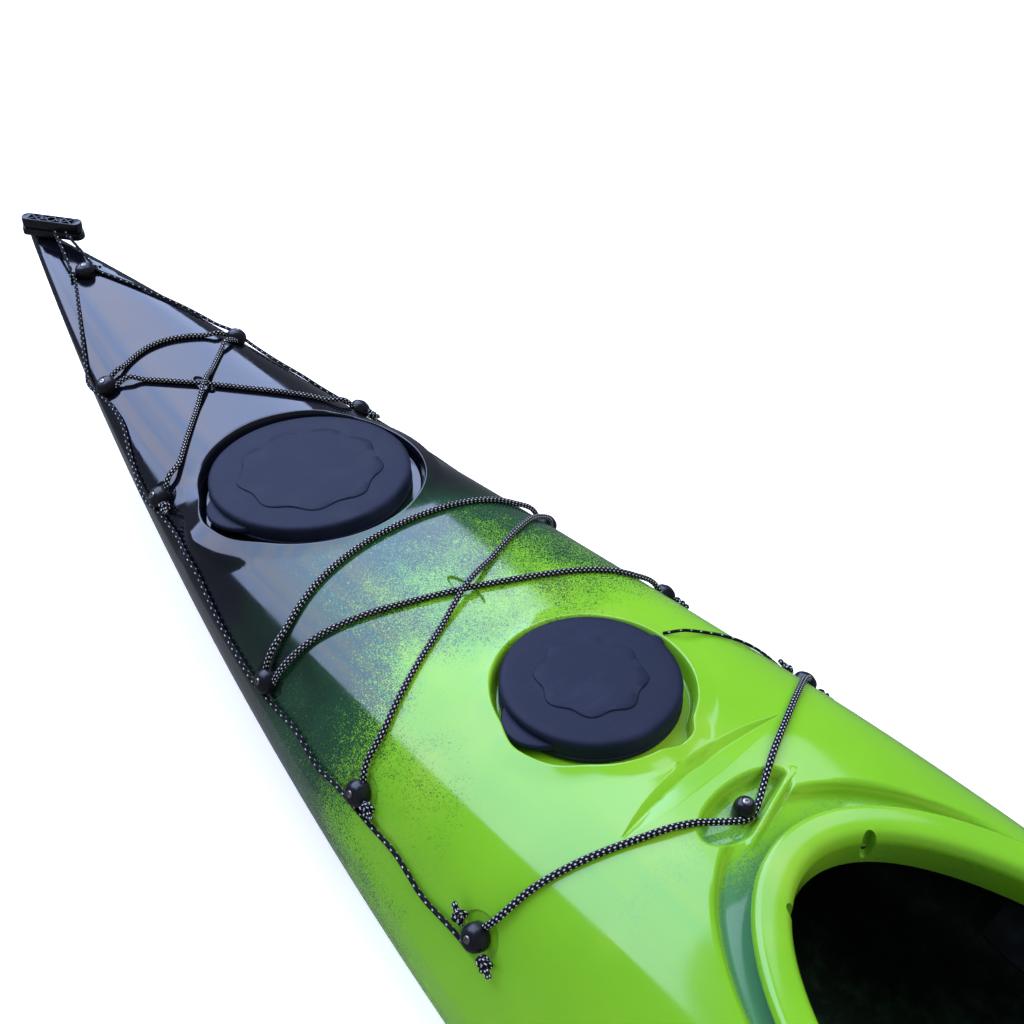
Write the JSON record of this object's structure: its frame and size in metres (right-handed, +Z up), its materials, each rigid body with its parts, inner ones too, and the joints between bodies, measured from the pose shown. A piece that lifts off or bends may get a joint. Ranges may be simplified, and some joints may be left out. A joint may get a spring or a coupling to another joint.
{
  "type": "sit-in kayak",
  "caption": "Sit-in touring kayak with a moulded one-piece hull, round rubber hatch covers, deck bungees and safety lines, carrying toggles, seat, back band and foot braces.",
  "frame": {"origin": "on the keel's flat rest at mid length, in the boat's middle plane", "axes": "+Y to the bow, +X to starboard, +Z up"},
  "size_m": [0.66, 4.43, 0.3742],
  "materials": {
    "shell": "gloss lime, speckled, turning black towards the ends",
    "black_plastic": "gloss black",
    "seat_plastic": "fine grained black",
    "cover_rubber": "matte blue-black",
    "cord": "black braid with white flecks",
    "foam": "closed-cell foam",
    "pad": "woven cover over foam",
    "aluminium": "anodised satin"
  },
  "bodies": {
    "hull": {"hull_shell": "shell", "bow_hatch_rim": "black_plastic", "day_hatch_rim": "black_plastic", "stern_hatch_rim": "black_plastic", "day_hatch_pod": "black_plastic", "bow_bulkhead": "foam", "stern_bulkhead": "foam", "port_fore_fitting_1": "black_plastic", "port_fore_fitting_2": "black_plastic", "port_fore_fitting_3": "black_plastic", "port_fore_fitting_4": "black_plastic", "port_fore_fitting_5": "black_plastic", "port_aft_fitting_1": "black_plastic", "port_aft_fitting_2": "black_plastic", "port_aft_fitting_3": "black_plastic", "starboard_fore_fitting_1": "black_plastic", "starboard_fore_fitting_2": "black_plastic", "starboard_fore_fitting_3": "black_plastic", "starboard_fore_fitting_4": "black_plastic", "starboard_fore_fitting_5": "black_plastic", "starboard_aft_fitting_1": "black_plastic", "starboard_aft_fitting_2": "black_plastic", "starboard_aft_fitting_3": "black_plastic", "bow_fitting": "black_plastic", "stern_fitting": "black_plastic", "centre_fitting": "black_plastic", "bow_bungee": "cord", "mid_bungee": "cord", "aft_bungee": "cord", "cockpit_bungee": "cord", "port_fore_line": "cord", "port_aft_line": "cord", "starboard_fore_line": "cord", "starboard_aft_line": "cord", "day_hatch_tether": "cord", "seat_pan": "seat_plastic", "seat_pad": "pad", "hip_pad_port": "foam", "hip_pad_starboard": "foam", "back_band_strap_port": "pad", "back_band_strap_starboard": "pad", "thigh_brace_port": "seat_plastic", "thigh_brace_starboard": "seat_plastic", "foot_brace_rail_port": "aluminium", "foot_brace_rail_starboard": "aluminium"},
    "bow_cover": {"bow_hatch_cover": "cover_rubber"},
    "day_cover": {"day_hatch_cover": "cover_rubber"},
    "stern_cover": {"stern_hatch_cover": "cover_rubber"},
    "bow_handle": {"bow_toggle": "black_plastic", "bow_toggle_cord_port": "cord", "bow_toggle_cord_starboard": "cord"},
    "stern_handle": {"stern_toggle": "black_plastic", "stern_toggle_cord_port": "cord", "stern_toggle_cord_starboard": "cord"},
    "back_rest": {"back_band": "pad"},
    "port_pedal": {"foot_pedal_port": "seat_plastic"},
    "starboard_pedal": {"foot_pedal_starboard": "seat_plastic"}
  },
  "joints": [
    {"name": "bow_cover_lift", "type": "slide", "parent": "hull", "child": "bow_cover", "axis": [0, 0.0837, 0.9965], "range_m": [0, 0.15]},
    {"name": "day_cover_lift", "type": "slide", "parent": "hull", "child": "day_cover", "axis": [0, 0.0732, 0.9973], "range_m": [0, 0.15]},
    {"name": "stern_cover_lift", "type": "slide", "parent": "hull", "child": "stern_cover", "axis": [0, -0.0349, 0.9994], "range_m": [0, 0.15]},
    {"name": "bow_toggle_lift", "type": "hinge", "parent": "hull", "child": "bow_handle", "pos_m": [0, 2.022, 0.33415], "axis": [1, 0, 0], "range_deg": [0, 100]},
    {"name": "stern_toggle_lift", "type": "hinge", "parent": "hull", "child": "stern_handle", "pos_m": [0, -2.022, 0.30335], "axis": [-1, 0, 0], "range_deg": [0, 100]},
    {"name": "back_band_fold", "type": "hinge", "parent": "hull", "child": "back_rest", "pos_m": [0, -0.269, 0.0686], "axis": [-1, 0, 0], "range_deg": [-6, 36]},
    {"name": "port_pedal_slide", "type": "slide", "parent": "hull", "child": "port_pedal", "axis": [0.1424, 0.9898, 0], "range_m": [-0.12, 0.12]},
    {"name": "starboard_pedal_slide", "type": "slide", "parent": "hull", "child": "starboard_pedal", "axis": [-0.1424, 0.9898, 0], "range_m": [-0.12, 0.12]}
  ]
}
